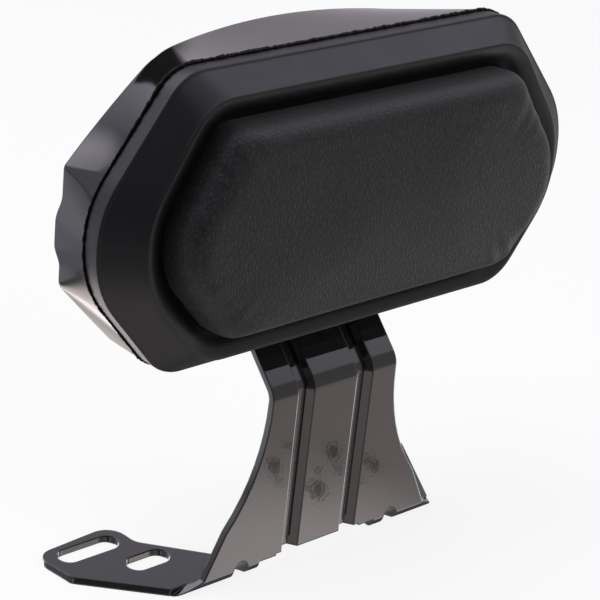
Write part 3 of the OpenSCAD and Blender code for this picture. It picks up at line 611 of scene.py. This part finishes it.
surface = add(tree, "ShaderNodeMath", {0: fine.outputs["Fac"], 1: 0.35, 2: domed.outputs[0]},
              operation="MULTIPLY_ADD")
leather_bump = add(tree, "ShaderNodeBump", {"Strength": 0.55, "Distance": 0.16 * MM,
                                            "Height": surface.outputs[0]})
tone = add(tree, "ShaderNodeMix", {0: domed.outputs[0], 6: linear("#0d0d0e"), 7: linear("#1c1c1e")},
           data_type="RGBA")
leather_gloss = add(tree, "ShaderNodeMapRange", {"Value": fine.outputs["Fac"], "To Min": 0.42, "To Max": 0.62})
shader = add(tree, "ShaderNodeBsdfPrincipled", {
    "Base Color": tone.outputs[2], "Roughness": leather_gloss.outputs[0], "IOR": 1.48,
    "Sheen Weight": 0.12, "Sheen Roughness": 0.4, "Normal": leather_bump.outputs[0]})
add(tree, "ShaderNodeOutputMaterial", {"Surface": shader.outputs[0]})
cushion = place("cushion_leather", cushion_mesh(), leather, "cushion_cover", "cushion_cover", "cushion_foam")
finer = cushion.modifiers.new("finer", "SUBSURF")
finer.levels = finer.render_levels = 1

# The cushion's board is a grey fibre board, and the staples in the hem are galvanised wire.

# Hardboard: pressed wood fibres about 2 mm long
fibre, tree = new_finish("dark_fibre_board")
where = add(tree, "ShaderNodeTexCoord").outputs["Object"]
fibres = add(tree, "ShaderNodeTexNoise", {"Vector": where, "Scale": 1 / (2 * MM), "Detail": 5.0, "Distortion": 1.5})
fibre_tone = add(tree, "ShaderNodeMix", {0: fibres.outputs["Fac"], 6: linear("#2c2824"), 7: linear("#4a4239")},
                 data_type="RGBA")
shader = add(tree, "ShaderNodeBsdfPrincipled", {"Base Color": fibre_tone.outputs[2], "Roughness": 0.8})
add(tree, "ShaderNodeOutputMaterial", {"Surface": shader.outputs[0]})
dress(fibre, "cushion_board")
dress(zinc, "cover_staples")

# Studio: a white floor that keeps a faint shadow, soft lamps above and in front, and a white room.
# What gloss shows of the room is drawn by direction: the lit backdrop and floor, two soft boxes, and the dark gaps
# between them, with the head's shadow on the floor below and beside it painted in as dark patches.

floor_mesh = bpy.data.meshes.new("floor")
floor_mesh.from_pydata([(-6, -6, 0), (6, -6, 0), (6, 6, 0), (-6, 6, 0)], [], [(0, 1, 2, 3)])
floor = bpy.data.objects.new("floor", floor_mesh)
bpy.context.scene.collection.objects.link(floor)
sheet, tree = new_finish("white_paper_floor")
matt = add(tree, "ShaderNodeBsdfDiffuse", {"Color": linear("#f4f4f4")})
glow = add(tree, "ShaderNodeEmission", {"Color": (1, 1, 1, 1), "Strength": 1.0})
through = add(tree, "ShaderNodeBsdfTransparent")
rays = add(tree, "ShaderNodeLightPath")
share = add(tree, "ShaderNodeMath", {0: rays.outputs["Is Camera Ray"], 1: 0.85}, operation="MULTIPLY")
mixed = add(tree, "ShaderNodeMixShader", {0: share.outputs[0], 1: matt.outputs[0], 2: glow.outputs[0]})
shown = add(tree, "ShaderNodeMixShader", {0: rays.outputs["Is Glossy Ray"], 1: mixed.outputs[0],
                                          2: through.outputs[0]})
add(tree, "ShaderNodeOutputMaterial", {"Surface": shown.outputs[0]})
floor_mesh.materials.append(sheet)

ROOM = 0.40
# Parts of the room as gloss shows them: azimuth and elevation of the middle, the angles at which each
# is whole and gone, in degrees, how bright it is, and its tint
CARDS = [("backdrop", 47, 4, 10, 16, 0.62, "#fdf3ff"), ("gap_by_backdrop", 66, -2, 7, 13, 0.02, "#fffdf0"),
         ("wall_left", 108, 2, 34, 35, 0.58, "#f0eeff"), ("soft_box_left", 100, 42, 12, 30, 2.4, "#f8f2ff"),
         ("strip_left", 136, 25, 8, 18, 1.0, "#f3f2ff"), ("floor_left", 126, -12, 12, 24, 1.1, "#f3f2ff"),
         ("floor_under_left", 88, -46, 12, 22, 2.9, "#fff4f5"), ("floor_back", 57, -32, 6, 14, 0.74, "#fff8f4"),
         # shade_under_head and shade_by_it: painted shadow of the head on the floor, which the floor itself hides from
         # gloss
         ("shade_under_head", 20, -42, 14, 22, 0.02, "#ffffff"), ("shade_by_it", -14, -48, 10, 18, 0.2, "#f0eeff"),
         ("soft_box_high", -5, 50, 12, 30, 1.75, "#eeecff"), ("soft_box_over", -107, 72, 14, 26, 0.9, "#eeecff"),
         ("shade_front_left", -135, 15, 30, 48, 0.12, "#f0f0ff"),
         ("floor_front_left", -115, -54, 15, 28, 0.9, "#fff2f2"),
         ("floor_front", -47, -26, 10, 18, 0.86, "#fff0f0"), ("floor_near", -46, -37, 5.5, 8.5, 1.9, "#fff6f4"),
         ("floor_by_camera", -160, -28, 7, 12, 0.85, "#fff0f0"), ("shade_by_camera", -142, -33, 6, 10, 0.15, "#fff0f0"),
         ("lamp_stand_back", 50, 32, 6, 12, 0.6, "#f4f0ff"), ("strip_right", -8, -25, 6, 12, 2.5, "#ffffff")]



def toward(az, el):
    """The direction with this azimuth and elevation, in degrees."""
    az, el = math.radians(az), math.radians(el)
    return math.cos(az) * math.cos(el), math.sin(az) * math.cos(el), math.sin(el)


world = bpy.data.worlds.new("studio")
bpy.context.scene.world = world
world.use_nodes = True
tree = world.node_tree
tree.nodes.clear()
rays = add(tree, "ShaderNodeLightPath")
facing = add(tree, "ShaderNodeTexCoord").outputs["Generated"]
level = add(tree, "ShaderNodeMix", {0: 0.0, 6: [ROOM] * 3 + [1.0]}, data_type="RGBA").outputs[2]
for name, az, el, whole, gone, bright, tint in CARDS:
    card = toward(az, el)
    near = add(tree, "ShaderNodeVectorMath", {0: facing, 1: card}, operation="DOT_PRODUCT", name=name)
    cover = add(tree, "ShaderNodeMapRange", {
        "Value": near.outputs["Value"], "From Min": math.cos(math.radians(gone)),
        "From Max": math.cos(math.radians(whole))}, interpolation_type="SMOOTHSTEP")
    seen = [c * bright for c in linear(tint)[:3]] + [1.0]
    level = add(tree, "ShaderNodeMix", {0: cover.outputs[0], 6: level, 7: seen}, data_type="RGBA").outputs[2]
grey = add(tree, "ShaderNodeBackground", {"Color": linear("#c9cbd2"), "Strength": 0.55})
white = add(tree, "ShaderNodeBackground", {"Color": (1, 1, 1, 1), "Strength": 1.0})
# Short dark strokes drawn into the room at the front edge of the floor, just where the upright mirrors it, so that the
# upright shows them as painted dark
# reflections: azimuth, elevation and half width in degrees; each is STROKE_TALL times as tall as wide
STROKES = [(-46.75, -29.4, 0.17), (-46.55, -29.75, 0.09), (-46.4, -28.85, 0.09), (-45.1, -28.85, 0.17),
           (-44.9, -29.25, 0.09), (-45.45, -29.35, 0.08), (-45.4, -29.85, 0.20), (-45.75, -29.8, 0.08),
           (-46.0, -29.6, 0.10), (-44.3, -29.0, 0.08), (-44.05, -28.95, 0.09), (-43.85, -29.1, 0.13),
           (-44.2, -29.5, 0.08)]
STROKE_TALL, STROKE_EDGE = 2.4, 0.0016
torn = add(tree, "ShaderNodeTexNoise", {"Vector": facing, "Scale": 400.0, "Detail": 1.0})
drift = add(tree, "ShaderNodeVectorMath", {0: torn.outputs["Color"], 1: (STROKE_EDGE,) * 3,
                                           2: facing}, operation="MULTIPLY_ADD")
tall = add(tree, "ShaderNodeMapping", {"Vector": drift.outputs[0], "Scale": (1.0, 1.0, 1 / STROKE_TALL)})
for az, el, half in STROKES:
    x, y, z = [c + STROKE_EDGE / 2 for c in toward(az, el)]
    gap = add(tree, "ShaderNodeVectorMath", {0: tall.outputs[0], 1: (x, y, z / STROKE_TALL)},
              operation="DISTANCE")
    dark = add(tree, "ShaderNodeMapRange", {
        "Value": gap.outputs["Value"], "From Min": math.radians(half), "From Max": math.radians(half) * 0.6,
        "To Max": 0.92})
    level = add(tree, "ShaderNodeMix", {0: dark.outputs[0], 6: level, 7: linear("#101010")},
                data_type="RGBA").outputs[2]
gloss = add(tree, "ShaderNodeBackground", {"Color": level, "Strength": 1.0})
clear = add(tree, "ShaderNodeMath", {0: rays.outputs["Is Camera Ray"], 1: rays.outputs["Is Transmission Ray"]},
            operation="MAXIMUM")
room = add(tree, "ShaderNodeMixShader", {0: clear.outputs[0], 1: grey.outputs[0], 2: white.outputs[0]})
room = add(tree, "ShaderNodeMixShader", {0: rays.outputs["Is Glossy Ray"], 1: room.outputs[0],
                                         2: gloss.outputs[0]})
add(tree, "ShaderNodeOutputWorld", {"Surface": room.outputs[0]})


def soft_box(name, spot, aim, size, watts, colour):
    """A square lamp that points at aim, in metres; gloss shows the drawn room in its place."""
    lamp = bpy.data.lights.new(name, "AREA")
    lamp.shape, lamp.size, lamp.energy, lamp.color = "SQUARE", size, watts, linear(colour)[:3]
    holder = bpy.data.objects.new(name, lamp)
    holder.location = spot
    holder.rotation_euler = (Vector(aim) - Vector(spot)).to_track_quat("-Z", "Y").to_euler()
    holder.visible_glossy = False
    bpy.context.scene.collection.objects.link(holder)


middle = (0, 0, 0.12)
soft_box("overhead", (-0.5, 0.3, 1.5), middle, 1.2, 18, "#f4f5ff")
soft_box("front", (0.6, -1.3, 1.0), middle, 0.9, 9, "#fffaf6")

# Camera: the photograph's place and angle, with a long lens.

across, upward, ahead = (Vector((0.75351, -0.64978, 0.10007)), Vector((0.2102, 0.38233, 0.8998)),
                         Vector((0.62293, 0.65697, -0.42467)))
lens = bpy.data.cameras.new("camera")
lens.lens, lens.sensor_width = 134.647, 36.0
lens.clip_start, lens.clip_end = 0.05, 30
camera = bpy.data.objects.new("camera", lens)
turn = Matrix((across, upward, -ahead)).transposed().to_4x4()
camera.matrix_world = Matrix.Translation((-0.58852, -0.62144, 0.50994)) @ turn
bpy.context.scene.collection.objects.link(camera)
bpy.context.scene.camera = camera
bpy.context.scene.view_settings.view_transform = "Standard"
